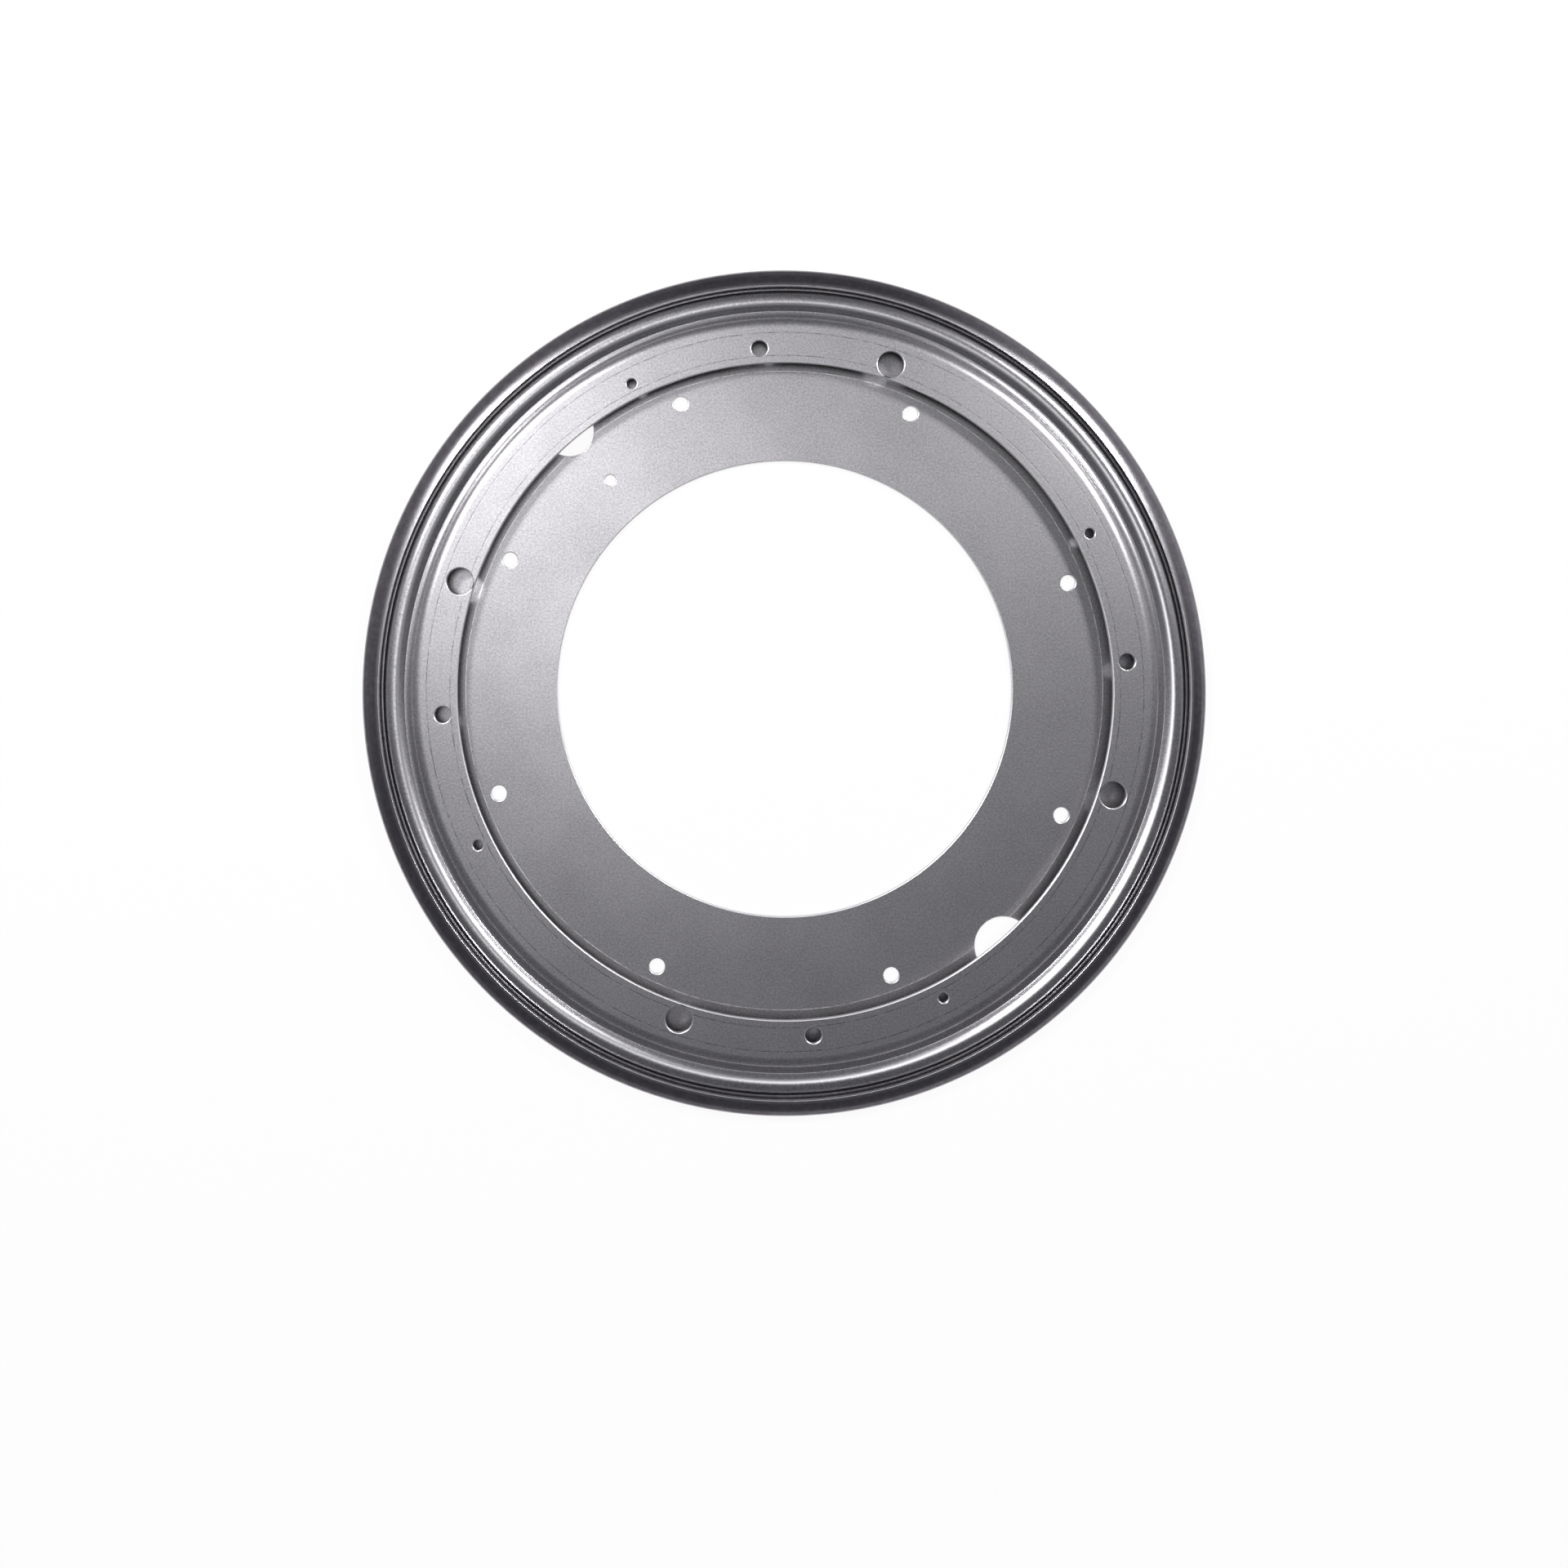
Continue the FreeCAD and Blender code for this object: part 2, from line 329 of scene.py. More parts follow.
def sheet_outline(path, sheet, end_radii, stations):
    """The closed outline of a bent sheet, from its centre line and thickness.

    Each side is the centre line moved by half the sheet along the mitre of its corners, and a
    bend's two radii are the centre line's bend radius less or plus half the sheet. stations are
    the radii of extra rows on the flat, so that both sides have the same grid for the holes.
    """
    half = sheet / 2
    path = np.array(path)
    points, bends = path[:, :2], path[:, 2]
    runs = unit(np.diff(points, axis=0))
    left = turned_left(runs)
    before = np.vstack([left[:1], left])
    after = np.vstack([left, left[-1:]])
    mitre = (before + after) / (1 + (before * after).sum(axis=1, keepdims=True))
    side = np.zeros(len(path))
    side[1:-1] = np.sign(runs[:-1, 0] * runs[1:, 1] - runs[:-1, 1] * runs[1:, 0])
    roll, burr = end_radii
    upper, lower = bends - side * half, bends + side * half
    upper[[0, -1]], lower[[0, -1]] = roll, burr
    corners = np.vstack([points + half * mitre, (points - half * mitre)[::-1]])
    radii = np.concatenate([upper, lower[::-1]])
    steps = np.full(len(radii), ARC_STEP)
    count = len(path)
    steps[[0, count - 1, count, 2 * count - 1]] = EDGE_STEP
    flat = np.zeros((len(stations), 4))
    flat[:, 0] = stations
    top, bottom = flat.copy(), flat[::-1].copy()
    top[:, 1], top[:, 3] = points[0, 1] + half, 1
    bottom[:, 1], bottom[:, 3] = points[0, 1] - half, -1
    rows, starts = rounded_outline(corners, radii, steps, {0: top, 2 * count - 2: bottom})
    number = np.arange(len(stations))
    upper_rows = starts[1] + number
    lower_rows = starts[2 * count] + number[::-1]
    return rows, upper_rows, lower_rows


def revolve(rows):
    """Points and normals of an outline carried round the axis: radius times cosine and sine."""
    around = np.arange(TURNS) * (2 * math.pi / TURNS)
    spin = np.stack([np.cos(around), np.sin(around)], axis=1)
    points = np.empty((len(rows), TURNS, 3))
    normals = np.empty((len(rows), TURNS, 3))
    points[..., :2] = rows[:, None, 0, None] * spin
    points[..., 2] = rows[:, None, 1]
    normals[..., :2] = rows[:, None, 2, None] * spin
    normals[..., 2] = rows[:, None, 3]
    return points, normals


def hole_wall(radius, top, bottom, roll, burr):
    """Section of a punched hole from upper to lower face: distance from its axis, level, normal.

    A quarter circle of the rolled edge, then the straight wall, then a smaller quarter circle.
    """
    turn = np.linspace(0, math.pi / 2, EDGE_POINTS)
    inward, rise = 1 - np.sin(turn), 1 - np.cos(turn)
    upper = [radius + roll * inward, top - roll * rise, -np.sin(turn), np.cos(turn)]
    lower = [radius + burr * inward, bottom + burr * rise, -np.sin(turn), -np.cos(turn)]
    return np.vstack([np.stack(upper, axis=1), np.stack(lower, axis=1)[::-1]])


def ring_quads(first, second):
    """Quads between two closed rings of the same number of points."""
    return np.stack([first, np.roll(first, -1), np.roll(second, -1), second], axis=1)


def punch(points, keep, stations, upper_rows, lower_rows, hole, race, offset):
    """One hole through both faces of the flat: new points, normals, bright edge mask, quads and
    triangles.

    A block of grid cells is taken out round the hole on both faces. From the block's edge the
    surface runs in a straight line to a circle with twice as many points, down the hole's wall,
    and out again to the block's edge on the other face. The bright edge mask is one on the leaning
    rows of the rolled upper edge, where the colour is painted bright, partly as wear and partly as
    a painted highlight, and nought elsewhere.
    """
    distance, direction, radius = hole
    first = max(0, np.searchsorted(stations, distance - radius - HOLE_MARGIN) - 1)
    last = min(len(stations) - 1, np.searchsorted(stations, distance + radius + HOLE_MARGIN))
    step = 2 * math.pi / TURNS
    spread = (radius + HOLE_MARGIN) / distance
    low = math.floor((direction - spread) / step)
    high = math.ceil((direction + spread) / step)
    rows = np.arange(first, last + 1)
    columns = np.arange(low, high + 1)
    keep[np.ix_(upper_rows[rows[:-1]], columns[:-1] % TURNS)] = False
    keep[np.ix_(lower_rows[rows[1:]], columns[:-1] % TURNS)] = False
    edge_rows = np.concatenate(
        [rows[:-1], np.full(len(columns) - 1, last), rows[:0:-1], np.full(len(columns) - 1, first)]
    )
    edge_columns = np.concatenate(
        [np.full(len(rows) - 1, low), columns[:-1], np.full(len(rows) - 1, high), columns[:0:-1]]
    )
    upper_edge = upper_rows[edge_rows] * TURNS + edge_columns % TURNS
    lower_edge = lower_rows[edge_rows] * TURNS + edge_columns % TURNS
    flat = points.reshape(-1, 3)
    border = flat[upper_edge, :2]
    fine = np.stack([border, (border + np.roll(border, -1, axis=0)) / 2], axis=1).reshape(-1, 2)
    centre = distance * np.array([math.cos(direction), math.sin(direction)])
    count = len(fine)
    even = np.arange(count) * (2 * math.pi / count)
    real = np.unwrap(np.arctan2(fine[:, 1] - centre[1], fine[:, 0] - centre[0]))
    around = even + (real - even).mean()
    spin = np.stack([np.cos(around), np.sin(around)], axis=1)
    top, bottom = flat[upper_edge[0], 2], flat[lower_edge[0], 2]
    wall = hole_wall(radius, top, bottom, race.roll, race.burr)
    places = np.empty((len(wall) + 2, count, 3))
    facing = np.zeros((len(wall) + 2, count, 3))
    places[1:-1, :, :2] = centre + wall[:, None, 0, None] * spin
    places[1:-1, :, 2] = wall[:, None, 1]
    facing[1:-1, :, :2] = wall[:, None, 2, None] * spin
    facing[1:-1, :, 2] = wall[:, None, 3]
    places[0, :, :2] = (fine + places[1, :, :2]) / 2
    places[-1, :, :2] = (fine + places[-2, :, :2]) / 2
    places[0, :, 2], places[-1, :, 2] = top, bottom
    facing[0, :, 2], facing[-1, :, 2] = 1, -1
    wear_and_highlight = np.zeros((len(wall) + 2, count))
    # the rolled upper edge is painted bright, partly as wear and partly as a painted highlight
    wear_and_highlight[2:EDGE_POINTS] = 1  # not the first and last rows, which lie in the face and the wall
    levels = offset + np.arange(len(places) * count).reshape(len(places), count)
    quads = np.vstack([ring_quads(upper, lower) for upper, lower in zip(levels, levels[1:])])
    inner, outer = levels[0], levels[-1]
    even_in, odd_in, next_in = inner[0::2], inner[1::2], np.roll(inner[0::2], -1)
    even_out, odd_out, next_out = outer[0::2], outer[1::2], np.roll(outer[0::2], -1)
    next_upper, next_lower = np.roll(upper_edge, -1), np.roll(lower_edge, -1)
    triangles = np.vstack(
        [
            np.stack([upper_edge, odd_in, even_in], axis=1),
            np.stack([upper_edge, next_upper, odd_in], axis=1),
            np.stack([next_upper, next_in, odd_in], axis=1),
            np.stack([even_out, odd_out, lower_edge], axis=1),
            np.stack([odd_out, next_lower, lower_edge], axis=1),
            np.stack([odd_out, next_out, next_lower], axis=1),
        ]
    )
    return places.reshape(-1, 3), facing.reshape(-1, 3), wear_and_highlight.ravel(), quads, triangles


def make_piece(name, points, normals, faces, material, wear_and_highlight=None):
    """A smooth shaded mesh object at the origin, with its exact normals and its mask of upper edges
    painted bright, partly as wear and partly as a painted highlight.
    """
    corners = np.concatenate([face.ravel() for face in faces])
    used, corners = np.unique(corners, return_inverse=True)
    parts = np.split(corners, np.cumsum([face.size for face in faces])[:-1])
    listed = [row for part, face in zip(parts, faces) for row in part.reshape(face.shape).tolist()]
    mesh = bpy.data.meshes.new(name)
    mesh.from_pydata(points[used].tolist(), [], listed)
    mesh.polygons.foreach_set("use_smooth", np.ones(len(listed), dtype=bool))
    mesh.update()
    mesh.normals_split_custom_set_from_vertices(unit(normals[used]).tolist())
    mesh.materials.append(material)
    if wear_and_highlight is not None:
        mesh.attributes.new("wear_and_highlight", "FLOAT", "POINT").data.foreach_set("value", wear_and_highlight[used])
    piece = bpy.data.objects.new(name, mesh)
    bpy.context.scene.collection.objects.link(piece)
    return piece


def pressed_ring(name, outline, stations, holes, race, material):
    """A ring of bent sheet with its holes, as one closed surface.

    The bright edge mask is one on the rolled edges that face up, where the normal leans within a
    roll's radius of the sheet's inner edge, or of its highest level and towards the axis; there the
    colour is painted bright, partly as wear and partly as a painted highlight. It is nought
    elsewhere.
    """
    rows, upper_rows, lower_rows = outline
    points, normals = revolve(rows)
    keep = np.ones((len(rows), TURNS), dtype=bool)
    number = np.arange(len(rows) * TURNS).reshape(len(rows), TURNS)
    least, most = BRIGHT_EDGE_LEAN
    leaning = (rows[:, 3] > math.cos(most)) & (rows[:, 3] < math.cos(least))
    inner = rows[:, 0] < rows[:, 0].min() + race.roll
    mouth = (rows[:, 1] > rows[:, 1].max() - race.roll) & (rows[:, 2] < 0)
    worn_and_highlit = leaning & (inner | mouth)
    made = []
    offset = number.size
    for hole in holes:
        made.append(punch(points, keep, stations, upper_rows, lower_rows, hole, race, offset))
        offset += len(made[-1][0])
    hole_points, hole_normals, hole_wear_and_highlight, hole_quads, hole_triangles = zip(*made)
    onward, around = np.roll(number, -1, axis=0), np.roll(number, -1, axis=1)
    cells = np.stack([number, onward, np.roll(onward, -1, axis=1), around], axis=2)[keep]
    return make_piece(
        name,
        np.vstack([points.reshape(-1, 3), *hole_points]),
        np.vstack([normals.reshape(-1, 3), *hole_normals]),
        [np.vstack([cells, *hole_quads]), np.vstack(hole_triangles)],
        material,
        np.concatenate([np.repeat(worn_and_highlit, TURNS).astype(float), *hole_wear_and_highlight]),
    )


def ball_level(race):
    """Height of the ball centres."""
    return race.height / 2


def race_circle(race):
    """Radius of the circle of the ball centres."""
    return race.outside / 2 - race.race_inset


def race_tip(race, way):
    """Level at which the side slopes of groove (way -1) or bead (way 1) meet, at mid sheet."""
    radius = race.ball / 2 + race.side_gap
    reach = (radius + race.sheet / 2) / math.cos(race.side_slope)
    return ball_level(race) + way * (reach - race.side_gap + race.pole_gap)


def shoulder(race, ring, level, way):
    """The two corners of a ring's pressed step beside the race: raised (way 1) or sunk (way -1)."""
    start = race_circle(race) - ring.shoulder_width
    end = start + ring.shoulder_depth / math.tan(ring.shoulder_slope)
    return [(start, level, ring.bend), (end, level + way * ring.shoulder_depth, ring.bend)]


def bead_foot(race, top):
    """Radius where the outer side of the bead meets the flange."""
    return race_circle(race) + (race_tip(race, 1) - top.flange_level) / math.tan(race.side_slope)


def base_path(race, base, top):
    """Centre line of the base ring's section: radius, level and bend radius of each corner."""
    half = race.sheet / 2
    circle = race_circle(race)
    tip = race_tip(race, -1)
    side = math.tan(race.side_slope)
    ridge = half + base.shoulder_depth
    floor = half + base.floor_lift
    wall = race.outside / 2 - half
    mouth = bead_foot(race, top) + base.mouth_gap - half * math.sin(base.lip_slope)
    mouth_level = base.lip_level - half * math.cos(base.lip_slope)
    bend = mouth + (wall - mouth) * base.lip_share
    bend_level = mouth_level - (bend - mouth) * math.tan(base.lip_slope)
    wall_level = bend_level - (wall - bend) * math.tan(base.lip_lower_slope)
    return [
        (race.outside / 2 - base.width, half, 0),
        *shoulder(race, base, half, 1),
        (circle - (ridge - tip) / side, ridge, race.crease),
        (circle, tip, race.ball / 2 + race.side_gap + half),
        (circle + (floor - tip) / side, floor, race.crease),
        (wall, floor, base.corner),
        (wall, wall_level, base.lip_side),
        (bend, bend_level, base.lip_bend),
        (mouth, mouth_level, 0),
    ]


def top_path(race, top):
    """Centre line of the top ring's section: radius, level and bend radius of each corner."""
    half = race.sheet / 2
    circle = race_circle(race)
    tip = race_tip(race, 1)
    side = math.tan(race.side_slope)
    flat = race.height - half
    valley = flat - top.shoulder_depth
    foot = bead_foot(race, top)
    rim = race.outside / 2 - race.sheet - top.flange_gap
    return [
        (circle - top.shoulder_width - top.flat_width, flat, 0),
        *shoulder(race, top, flat, -1),
        (circle - (tip - valley) / side, valley, race.crease),
        (circle, tip, race.ball / 2 + race.side_gap + half),
        (foot, top.flange_level, race.crease),
        (rim, top.flange_level - (rim - foot) * math.tan(top.flange_slope), 0),
    ]


def flat_rows(path, race, ring, stops, counts):
    """Radii of the grid rows on a ring's flat, from its rolled edge to its first bend.

    The rows lie evenly between each two stops. The first lies past the rolled edge, and the last
    before the bend, which starts its radius times tangent of half the slope before the corner.
    """
    start = path[0][0] + EDGE_CLEAR * race.roll
    end = path[1][0] - path[1][2] * math.tan(ring.shoulder_slope / 2) - BEND_CLEAR
    stops = [start, *stops, end]
    runs = [
        np.linspace(inner, outer, count, endpoint=False)
        for inner, outer, count in zip(stops, stops[1:], counts)
    ]
    return np.concatenate([*runs, [end]])


def add_node(tree, kind, inputs=None, **settings):
    """Adds one node with its settings. An input is a value or the socket that feeds it."""
    node = tree.nodes.new(kind)
    for name, value in settings.items():
        setattr(node, name, value)
    for name, value in (inputs or {}).items():
        if isinstance(value, bpy.types.NodeSocket):
            tree.links.new(value, node.inputs[name])
        else:
            node.inputs[name].default_value = value
    return node


def new_material(name):
    """The empty node tree of a new material, and its output node."""
    material = bpy.data.materials.new(name)
    material.use_nodes = True
    tree = material.node_tree
    tree.nodes.clear()
    return tree, add_node(tree, "ShaderNodeOutputMaterial")


def noise(tree, place, scale, detail, roughness):
    """A noise's value, with its scale in features per metre."""
    return add_node(
        tree, "ShaderNodeTexNoise",
        {"Vector": place, "Scale": scale, "Detail": detail, "Roughness": roughness},
    ).outputs["Fac"]


def remap(tree, value, start, end, low=0.0, high=1.0, curve="LINEAR"):
    """A value carried from the range start to end to the range low to high, and held there."""
    return add_node(
        tree, "ShaderNodeMapRange",
        {"Value": value, "From Min": start, "From Max": end, "To Min": low, "To Max": high},
        interpolation_type=curve,
    ).outputs[0]


def combine(tree, operation, first, second):
    """The result of one sum on two values."""
    return add_node(
        tree, "ShaderNodeMath", {0: first, 1: second}, operation=operation
    ).outputs[0]


def blend(tree, share, first, second):
    """The mix of two colours by the share of the second. Sockets 6 and 7 are the colour ones."""
    return add_node(
        tree, "ShaderNodeMix", {0: share, 6: first, 7: second}, data_type="RGBA"
    ).outputs[2]


def zinc_plated_steel(finish):
    """Cold rolled steel sheet, pressed and barrel plated with bright zinc.

    The sheet's skin gives a fine satin grain, the plating bath leaves faint clouds some 30 mm
    wide, and the press tools leave witness lines round the flats. The dies smooth the formed
    steps and the bead, and the rollers that close the lip smooth it still more. The lip's colour
    is painted darker, as shade that stands in for the dark room that it mirrors.
    The real grain is about 0.1 mm, and is drawn 0.7 mm wide so that it shows.
    """
    tree, output = new_material(ZINC)
    place = add_node(tree, "ShaderNodeTexCoord").outputs["Object"]
    flat = add_node(tree, "ShaderNodeVectorMath", {0: place, 1: (1, 1, 0)}, operation="MULTIPLY")
    radius = add_node(
        tree, "ShaderNodeVectorMath", {0: flat.outputs[0]}, operation="LENGTH"
    ).outputs["Value"]
    level = add_node(tree, "ShaderNodeSeparateXYZ", {0: place}).outputs["Z"]
    grain = noise(tree, place, *GRAIN)
    cloud = noise(tree, place, *CLOUD)
    mottle = noise(tree, place, *MOTTLE)

    faint = combine(tree, "MULTIPLY", cloud, CLOUD_SHARE)
    dullness = remap(tree, combine(tree, "ADD", faint, grain), *DULL_RANGE)
    plate = blend(tree, dullness, finish.zinc, finish.zinc_dull)

    # the witness lines, broken up by the mottle, in the height and in the colour
    height = combine(tree, "MULTIPLY", grain, GRAIN_SHARE)
    broken = remap(tree, mottle, *LINE_RANGE)
    marks = None
    for line, half_width, depth in WITNESS_LINES:
        away = combine(tree, "SUBTRACT", radius, line)
        near = add_node(tree, "ShaderNodeMath", {0: away}, operation="ABSOLUTE").outputs[0]
        band = remap(tree, near, 0.0, half_width, depth, 0.0, "SMOOTHSTEP")
        mark = combine(tree, "MULTIPLY", band, broken)
        height = combine(tree, "ADD", height, mark)
        marks = combine(tree, "ADD", marks, mark) if marks else mark
    for full, tone in ((-1.0, finish.scribed), (1.0, finish.rubbed)):
        plate = blend(tree, remap(tree, marks, 0.0, full, 0.0, LINE_SHARE), plate, tone)

    # the lip painted darker as shade, spotted by the mottle, and the upper rolled edges
    # painted bright, partly as wear and partly as a painted highlight
    outer, upper = remap(tree, radius, *LIP_RADII), remap(tree, level, *LIP_LEVELS)
    lip = combine(tree, "MULTIPLY", outer, upper)
    spots = remap(tree, mottle, *LIP_SHADE_SPOTS)
    skin = blend(tree, combine(tree, "MULTIPLY", lip, spots), plate, finish.lip_painted_shade)
    # the upper rolled edges painted near white, partly as wear and partly as a painted highlight
    wear_and_highlight = add_node(tree, "ShaderNodeAttribute", attribute_name="wear_and_highlight").outputs["Fac"]
    skin = blend(tree, wear_and_highlight, skin, finish.edge)

    # the clouds' roughness, less what the dies and the rollers smooth
    satin = remap(tree, cloud, *SATIN)
    formed = remap(tree, radius, *FORMED_RADII, 0.0, FORMED_POLISH)
    smoothed = combine(tree, "ADD", formed, combine(tree, "MULTIPLY", lip, ROLLED_POLISH))
    roughness = combine(tree, "SUBTRACT", satin, smoothed)
    bump = add_node(
        tree, "ShaderNodeBump", {"Height": height, "Strength": 1.0, "Distance": BUMP_HEIGHT}
    ).outputs[0]
    shader = add_node(
        tree, "ShaderNodeBsdfPrincipled",
        {
            "Base Color": skin, "Metallic": 1.0, "Roughness": roughness, "Normal": bump,
            "Coat Weight": COAT_WEIGHT, "Coat Roughness": COAT_ROUGHNESS,
        },
    )
    tree.links.new(shader.outputs[0], output.inputs["Surface"])


def polished_ball_steel(finish):
    """Through hardened bearing steel, lapped to a mirror: only a trace of grease dulls it."""
    tree, output = new_material(BALL_STEEL)
    place = add_node(tree, "ShaderNodeTexCoord").outputs["Object"]
    roughness = remap(tree, noise(tree, place, *GREASE), *LAPPED)
    shader = add_node(
        tree, "ShaderNodeBsdfPrincipled",
        {"Base Color": finish.ball, "Metallic": 1.0, "Roughness": roughness},
    )
    tree.links.new(shader.outputs[0], output.inputs["Surface"])


class BEARING_OT_base_ring(Operator):
    """Build the wide pressed plate whose rim is rolled over the top ring"""

    bl_idname = "bearing.base_ring"
    bl_label = "Base Ring"

    def execute(self, context):
        scene = context.scene
        race, base, top = scene.bearing_race, scene.bearing_base, scene.bearing_top
        path = base_path(race, base, top)
        stations = flat_rows(path, race, base, BASE_STOPS, BASE_ROWS)
        outside = race.outside / 2
        circle, access = outside - base.screw_inset, outside - base.access_inset
        step = 2 * math.pi / SCREW_HOLES
        holes = [
            (circle, base.screw_turn + place * step, base.screw_hole / 2)
            for place in range(SCREW_HOLES)
        ]
        holes.append((outside - base.locating_inset, base.access_turn, base.locating_hole / 2))
        holes.append((access, base.access_turn, base.small_access / 2))
        holes.append((access, base.access_turn + math.pi, base.large_access / 2))
        outline = sheet_outline(path, race.sheet, (race.roll, race.burr), stations)
        piece = pressed_ring(
            "base_ring_plated", outline, stations, holes, race, bpy.data.materials[ZINC]
        )
        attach(piece, "base")
        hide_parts("base_ring")
        return {"FINISHED"}


class BEARING_OT_top_ring(Operator):
    """Build the narrow ring that turns under the lip"""

    bl_idname = "bearing.top_ring"
    bl_label = "Top Ring"

    def execute(self, context):
        scene = context.scene
        race, top = scene.bearing_race, scene.bearing_top
        path = top_path(race, top)
        stations = flat_rows(path, race, top, TOP_STOPS, TOP_ROWS)
        circle = path[0][0] + top.hole_margin
        quarter = 2 * math.pi / TOP_HOLES_OF_A_SIZE
        holes = [
            (circle, top.hole_turn + number * top.hole_step + place * quarter, size / 2)
            for number, size in enumerate((top.large_hole, top.medium_hole, top.small_hole))
            for place in range(TOP_HOLES_OF_A_SIZE)
        ]
        outline = sheet_outline(path, race.sheet, (race.roll, race.burr), stations)
        piece = pressed_ring(
            "top_ring_plated", outline, stations, holes, race, bpy.data.materials[ZINC]
        )
        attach(piece, "turntable")
        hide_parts("top_ring")
        return {"FINISHED"}


def ball_surface(radius, segments):
    """A closed ball on a grid of two angles, with one point at each pole.

    A point is radius times (sine of polar angle times cosine and sine of turn, cosine of polar
    angle), and its normal is the same direction.
    """
    rings = segments // 2
    polar = np.linspace(0, math.pi, rings + 1)[1:-1]
    turn = np.arange(segments) * (2 * math.pi / segments)
    grid = np.empty((rings - 1, segments, 3))
    grid[..., 0] = np.sin(polar)[:, None] * np.cos(turn)
    grid[..., 1] = np.sin(polar)[:, None] * np.sin(turn)
    grid[..., 2] = np.cos(polar)[:, None]
    directions = np.vstack([grid.reshape(-1, 3), [[0, 0, 1], [0, 0, -1]]])
    number = np.arange((rings - 1) * segments).reshape(rings - 1, segments)
    around = np.roll(number, -1, axis=1)
    quads = np.stack([number[:-1], number[1:], around[1:], around[:-1]], axis=2).reshape(-1, 4)
    north, south = number.size, number.size + 1
    caps = np.vstack(
        [
            np.stack([np.full(segments, north), number[0], around[0]], axis=1),
            np.stack([np.full(segments, south), around[-1], number[-1]], axis=1),
        ]
    )
    return directions * radius, directions, quads, caps


class BEARING_OT_balls(Operator):
    """Build the loose balls of the race, in sets that are spread evenly round it"""

    bl_idname = "bearing.balls"
    bl_label = "Balls"

    def execute(self, context):
        scene = context.scene
        race, balls = scene.bearing_race, scene.bearing_balls
        points, normals, quads, caps = ball_surface(race.ball / 2, balls.segments)
        step = 2 * math.pi / (balls.sets * balls.in_set)
        shift = np.arange(balls.in_set)
        for number in range(balls.sets):
            turn = number * step + shift * (2 * math.pi / balls.in_set)
            centres = np.stack(
                [
                    race_circle(race) * np.cos(turn),
                    race_circle(race) * np.sin(turn),
                    np.full(balls.in_set, ball_level(race)),
                ],
                axis=1,
            )
            move = (shift * len(points))[:, None, None]
            piece = make_piece(
                f"balls_{number + 1:02d}",
                (centres[:, None] + points).reshape(-1, 3),
                np.tile(normals, (balls.in_set, 1)),
                [(quads + move).reshape(-1, 4), (caps + move).reshape(-1, 3)],
                bpy.data.materials[BALL_STEEL],
            )
            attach(piece, "ball_train")
            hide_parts(f"ball_set_{number + 1:02d}")
        return {"FINISHED"}


class BEARING_OT_finishes(Operator):
    """Make the materials of the rings and balls"""

    bl_idname = "bearing.finishes"
    bl_label = "Finishes"

    def execute(self, context):
        finish = context.scene.bearing_finish
        zinc_plated_steel(finish)
        polished_ball_steel(finish)
        return {"FINISHED"}


def towards(azimuth, off_zenith):
    """The direction at an azimuth and an angle off the zenith, both in degrees."""
    around, down = math.radians(azimuth), math.radians(off_zenith)
    return (math.sin(down) * math.cos(around), math.sin(down) * math.sin(around), math.cos(down))


def lay_floor(scene, studio):
    """White paper under the bearing. The camera and the metal see it nearly evenly lit."""
    tree, output = new_material(PAPER)
    path = add_node(tree, "ShaderNodeLightPath")
    seen = path.outputs["Is Camera Ray"]
    for ray in ("Is Glossy Ray", "Is Transmission Ray"):
        seen = combine(tree, "MAXIMUM", seen, path.outputs[ray])
    share = combine(tree, "MULTIPLY", seen, FLOOR_GLOW)
    paper = add_node(tree, "ShaderNodeBsdfDiffuse", {"Color": studio.floor})
    glow = add_node(tree, "ShaderNodeEmission", {"Color": studio.backdrop})
    both = add_node(
        tree, "ShaderNodeMixShader", {0: share, 1: paper.outputs[0], 2: glow.outputs[0]}
    )
    tree.links.new(both.outputs[0], output.inputs["Surface"])
    mesh = bpy.data.meshes.new("studio_floor")
    corners = [(-1, -1), (1, -1), (1, 1), (-1, 1)]
    mesh.from_pydata(
        [(FLOOR_REACH * x, FLOOR_REACH * y, -FLOOR_DROP) for x, y in corners], [], [(0, 1, 2, 3)]
    )
    mesh.materials.append(bpy.data.materials[PAPER])
    floor = bpy.data.objects.new("studio_floor", mesh)
    scene.collection.objects.link(floor)


def light_room(scene, studio):
    """A dim room that is paler at the horizon and towards a few places above it."""
    world = bpy.data.worlds.new("studio_room")
    scene.world = world
    world.use_nodes = True
    tree = world.node_tree
    tree.nodes.clear()
    output = add_node(tree, "ShaderNodeOutputWorld")
    look = add_node(tree, "ShaderNodeTexCoord").outputs["Generated"]
    rise = add_node(tree, "ShaderNodeSeparateXYZ", {0: look}).outputs["Z"]
    light = remap(tree, rise, 0.0, HORIZON_HEIGHT, HORIZON_LIGHT, 0.0, "SMOOTHSTEP")
    for azimuth, off_zenith, spread, around, added in ROOM_LIGHT:
        lean = add_node(
            tree, "ShaderNodeVectorMath", {0: look, 1: towards(azimuth, off_zenith)},
            operation="DOT_PRODUCT",
        ).outputs["Value"]
        end = math.cos(math.radians(spread))
        part = remap(tree, lean, end, 1.0, around, around + added, "SMOOTHSTEP")
        light = combine(tree, "ADD", light, part)
    room = add_node(tree, "ShaderNodeBackground", {"Color": studio.room, "Strength": light})
    tree.links.new(room.outputs[0], output.inputs["Surface"])


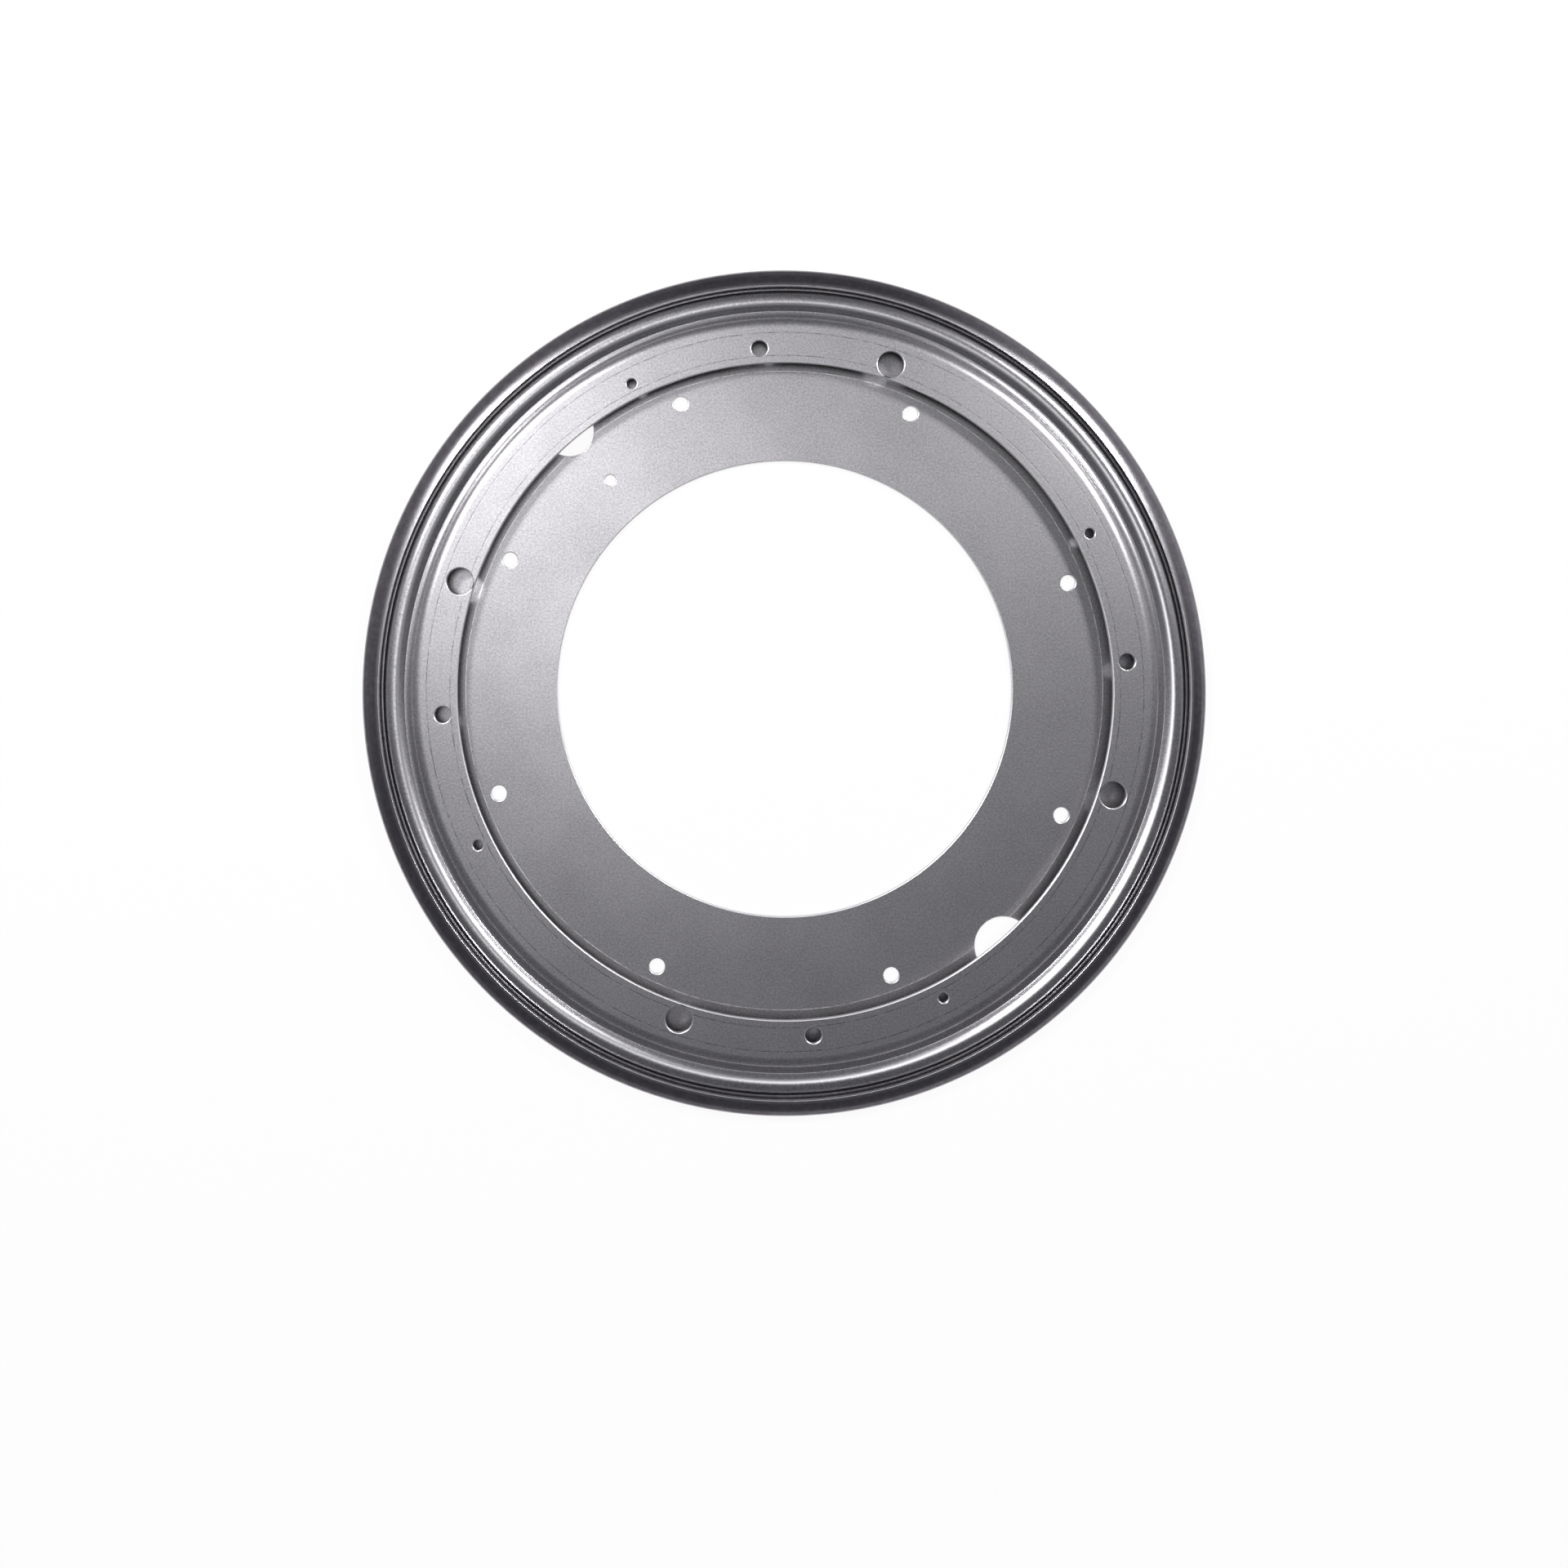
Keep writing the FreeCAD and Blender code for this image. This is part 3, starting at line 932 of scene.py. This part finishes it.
def hang_lamps(scene):
    """Square soft boxes that face the middle of the bearing."""
    for name, azimuth, off_zenith, distance, size, radiance in LAMPS:
        lamp = bpy.data.lights.new(name, "AREA")
        lamp.shape = "RECTANGLE"
        lamp.size, lamp.size_y = size
        lamp.energy = radiance * math.pi * size[0] * size[1]
        held = bpy.data.objects.new(name, lamp)
        held.location = distance * Vector(towards(azimuth, off_zenith))
        held.rotation_euler = held.location.to_track_quat("Z", "Y").to_euler()
        scene.collection.objects.link(held)


def aim_camera(scene, studio):
    """The camera of the photo, nearly straight above, with its frame shifted off the axis."""
    camera = bpy.data.cameras.new("camera")
    camera.sensor_width, camera.lens = SENSOR, LENS
    camera.shift_x, camera.shift_y = CAMERA_SHIFT
    camera.clip_start, camera.clip_end = CAMERA_CLIP
    eye = bpy.data.objects.new("camera", camera)
    eye.location = (studio.camera_x, studio.camera_y, studio.camera_height)
    eye.rotation_euler = CAMERA_TILT
    scene.collection.objects.link(eye)
    scene.camera = eye


class BEARING_OT_studio(Operator):
    """Set up the floor, the soft lamps, the surroundings and the camera"""

    bl_idname = "bearing.studio"
    bl_label = "Studio"

    def execute(self, context):
        scene = context.scene
        studio = scene.bearing_studio
        lay_floor(scene, studio)
        light_room(scene, studio)
        hang_lamps(scene)
        aim_camera(scene, studio)
        scene.view_settings.view_transform = "Standard"
        return {"FINISHED"}


GROUPS = (
    ("bearing_race", BEARING_PG_race),
    ("bearing_base", BEARING_PG_base),
    ("bearing_top", BEARING_PG_top),
    ("bearing_balls", BEARING_PG_balls),
    ("bearing_finish", BEARING_PG_finish),
    ("bearing_studio", BEARING_PG_studio),
)
STEPS = (
    BEARING_OT_finishes,
    BEARING_OT_base_ring,
    BEARING_OT_top_ring,
    BEARING_OT_balls,
    BEARING_OT_studio,
)


class BEARING_PT_panel(Panel):
    """Sizes, colours and steps of the bearing"""

    bl_idname = "BEARING_PT_panel"
    bl_label = "Lazy Susan Bearing"
    bl_space_type = "VIEW_3D"
    bl_region_type = "UI"
    bl_category = "Bearing"

    def draw(self, context):
        layout = self.layout
        for name, group in GROUPS:
            box = layout.box()
            box.label(text=group.__doc__.rstrip("."))
            held = getattr(context.scene, name)
            for size in group.__annotations__:
                box.prop(held, size)
        for step in STEPS:
            layout.operator(step.bl_idname)


CLASSES = (*[group for name, group in GROUPS], *STEPS, BEARING_PT_panel)


def register():
    for kind in CLASSES:
        bpy.utils.register_class(kind)
    for name, group in GROUPS:
        setattr(bpy.types.Scene, name, PointerProperty(type=group))


def unregister():
    for name, group in GROUPS:
        delattr(bpy.types.Scene, name)
    for kind in reversed(CLASSES):
        bpy.utils.unregister_class(kind)


def main():
    register()
    bpy.ops.bearing.finishes()
    bpy.ops.bearing.base_ring()
    bpy.ops.bearing.top_ring()
    bpy.ops.bearing.balls()
    bpy.ops.bearing.studio()


if __name__ == "__main__":
    main()
